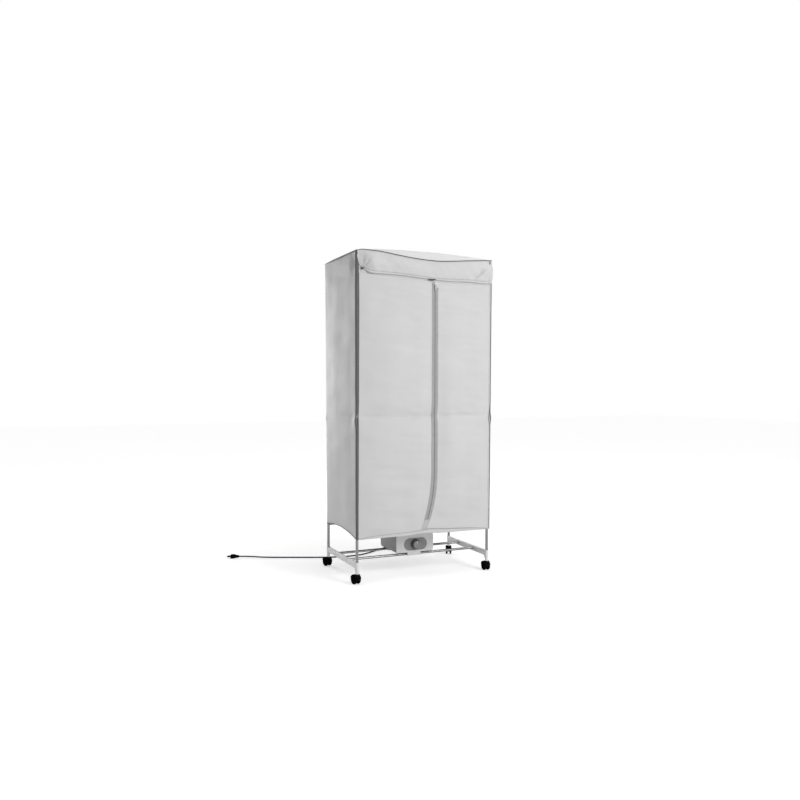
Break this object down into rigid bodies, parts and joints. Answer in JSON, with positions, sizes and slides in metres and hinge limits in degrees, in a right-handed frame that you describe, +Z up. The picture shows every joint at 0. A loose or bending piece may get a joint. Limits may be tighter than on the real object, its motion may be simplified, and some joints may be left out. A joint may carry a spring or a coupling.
{
  "type": "fabric drying cabinet",
  "caption": "Free-standing fabric-covered drying cabinet on casters: a tube frame with hanging rods, zipped front doors and a fan heater with a timer underneath.",
  "frame": {"origin": "on the floor, in the middle of the rectangle that the four posts stand on", "axes": "+Z up, +X to the right as seen from the front, -Y out of the zipped front"},
  "size_m": [1.1225, 0.8206, 1.5142],
  "materials": {
    "white_plastic": "satin moulded plastic",
    "grey_plastic": "satin moulded plastic",
    "dark_grey_plastic": "fine-grained moulded plastic",
    "black_plastic": "satin moulded plastic",
    "black_rubber": "soft cable sheath",
    "wheel_tread": "hard plastic wheel",
    "steel_tube": "silver coated steel tube",
    "zinc_steel": "zinc-plated steel",
    "heater_fins": "bare aluminium fins",
    "cover_cloth": "silver-grey coated woven cloth",
    "zip_tape": "woven zip tape with moulded teeth",
    "binding_tape": "folded binding tape",
    "zip_metal": "dark plated zinc"
  },
  "bodies": {
    "frame": {"left_foot": "white_plastic", "right_foot": "white_plastic", "mid_connectors": "white_plastic", "top_corner_connectors": "white_plastic", "heater_fascia": "white_plastic", "heater_shell": "grey_plastic", "outlet_grille": "grey_plastic", "control_panel": "dark_grey_plastic", "timer_switch": "black_plastic", "strain_relief": "black_rubber", "power_cord": "black_rubber", "plug": "black_rubber", "bottom_rail_front": "steel_tube", "bottom_rail_rear": "steel_tube", "mid_rail_left": "steel_tube", "mid_rail_right": "steel_tube", "top_rail_front": "steel_tube", "top_rail_rear": "steel_tube", "top_rail_left": "steel_tube", "top_rail_right": "steel_tube", "hanging_rods": "steel_tube", "lower_post_front_left": "steel_tube", "lower_post_front_right": "steel_tube", "lower_post_rear_left": "steel_tube", "lower_post_rear_right": "steel_tube", "upper_post_front_left": "steel_tube", "upper_post_front_right": "steel_tube", "upper_post_rear_left": "steel_tube", "upper_post_rear_right": "steel_tube", "rail_screws": "zinc_steel", "grille_screws": "zinc_steel", "fan_motor": "zinc_steel", "heating_element": "heater_fins", "cover_left_side": "cover_cloth", "cover_right_side": "cover_cloth", "cover_back": "cover_cloth", "cover_roof": "cover_cloth", "cover_header": "cover_cloth", "cover_valance": "cover_cloth", "cover_floor_cloth": "cover_cloth", "corner_bindings": "binding_tape", "top_piping": "binding_tape"},
    "door_left": {"door_left": "cover_cloth", "zip_tape_left": "zip_tape"},
    "door_right": {"door_right": "cover_cloth", "zip_tape_right": "zip_tape"},
    "zip_slider": {"zip_slider": "zip_metal"},
    "zip_pull": {"zip_pull": "zip_metal"},
    "timer_knob": {"timer_knob": "dark_grey_plastic"},
    "fan": {"fan_impeller": "black_plastic"},
    "caster_front_left": {"caster_hood_front_left": "black_plastic"},
    "wheels_front_left": {"caster_wheels_front_left": "wheel_tread"},
    "caster_front_right": {"caster_hood_front_right": "black_plastic"},
    "wheels_front_right": {"caster_wheels_front_right": "wheel_tread"},
    "caster_rear_left": {"caster_hood_rear_left": "black_plastic"},
    "wheels_rear_left": {"caster_wheels_rear_left": "wheel_tread"},
    "caster_rear_right": {"caster_hood_rear_right": "black_plastic"},
    "wheels_rear_right": {"caster_wheels_rear_right": "wheel_tread"}
  },
  "joints": [
    {"name": "door_left_hinge", "type": "hinge", "parent": "frame", "child": "door_left", "pos_m": [-0.3295, -0.207, 0.202], "axis": [0.004, 0.008, -1], "range_deg": [0, 105]},
    {"name": "door_right_hinge", "type": "hinge", "parent": "frame", "child": "door_right", "pos_m": [0.3295, -0.207, 0.202], "axis": [0.004, -0.008, 1], "range_deg": [0, 105]},
    {"name": "zip_slide", "type": "slide", "parent": "door_left", "child": "zip_slider", "axis": [0, 0.008, -1], "range_m": [0, 0.86]},
    {"name": "zip_pull_swing", "type": "hinge", "parent": "zip_slider", "child": "zip_pull", "pos_m": [0.046, -0.2226, 1.3575], "axis": [-1, 0, 0], "range_deg": [0, 95]},
    {"name": "timer_turn", "type": "hinge", "parent": "frame", "child": "timer_knob", "pos_m": [0.002, -0.1, 0.1365], "axis": [0, 1, 0], "range_deg": [0, 300]},
    {"name": "fan_spin", "type": "hinge", "parent": "frame", "child": "fan", "pos_m": [0, 0.01, 0.15], "axis": [0, 0, 1], "continuous": true},
    {"name": "swivel_front_left", "type": "hinge", "parent": "frame", "child": "caster_front_left", "pos_m": [-0.3355, -0.1975, 0.06], "axis": [0, 0, 1], "continuous": true},
    {"name": "wheel_spin_front_left", "type": "hinge", "parent": "caster_front_left", "child": "wheels_front_left", "pos_m": [-0.3378, -0.18828, 0.0215], "axis": [-0.9703, -0.2419, 0], "continuous": true},
    {"name": "swivel_front_right", "type": "hinge", "parent": "frame", "child": "caster_front_right", "pos_m": [0.3355, -0.1975, 0.06], "axis": [0, 0, 1], "continuous": true},
    {"name": "wheel_spin_front_right", "type": "hinge", "parent": "caster_front_right", "child": "wheels_front_right", "pos_m": [0.3355, -0.188, 0.0215], "axis": [-1, 0, 0], "continuous": true},
    {"name": "swivel_rear_left", "type": "hinge", "parent": "frame", "child": "caster_rear_left", "pos_m": [-0.3355, 0.1975, 0.06], "axis": [0, 0, 1], "continuous": true},
    {"name": "wheel_spin_rear_left", "type": "hinge", "parent": "caster_rear_left", "child": "wheels_rear_left", "pos_m": [-0.33844, 0.20653, 0.0215], "axis": [-0.9511, -0.309, 0], "continuous": true},
    {"name": "swivel_rear_right", "type": "hinge", "parent": "frame", "child": "caster_rear_right", "pos_m": [0.3355, 0.1975, 0.06], "axis": [0, 0, 1], "continuous": true},
    {"name": "wheel_spin_rear_right", "type": "hinge", "parent": "caster_rear_right", "child": "wheels_rear_right", "pos_m": [0.33906, 0.20631, 0.0215], "axis": [-0.9272, 0.3746, 0], "continuous": true}
  ]
}
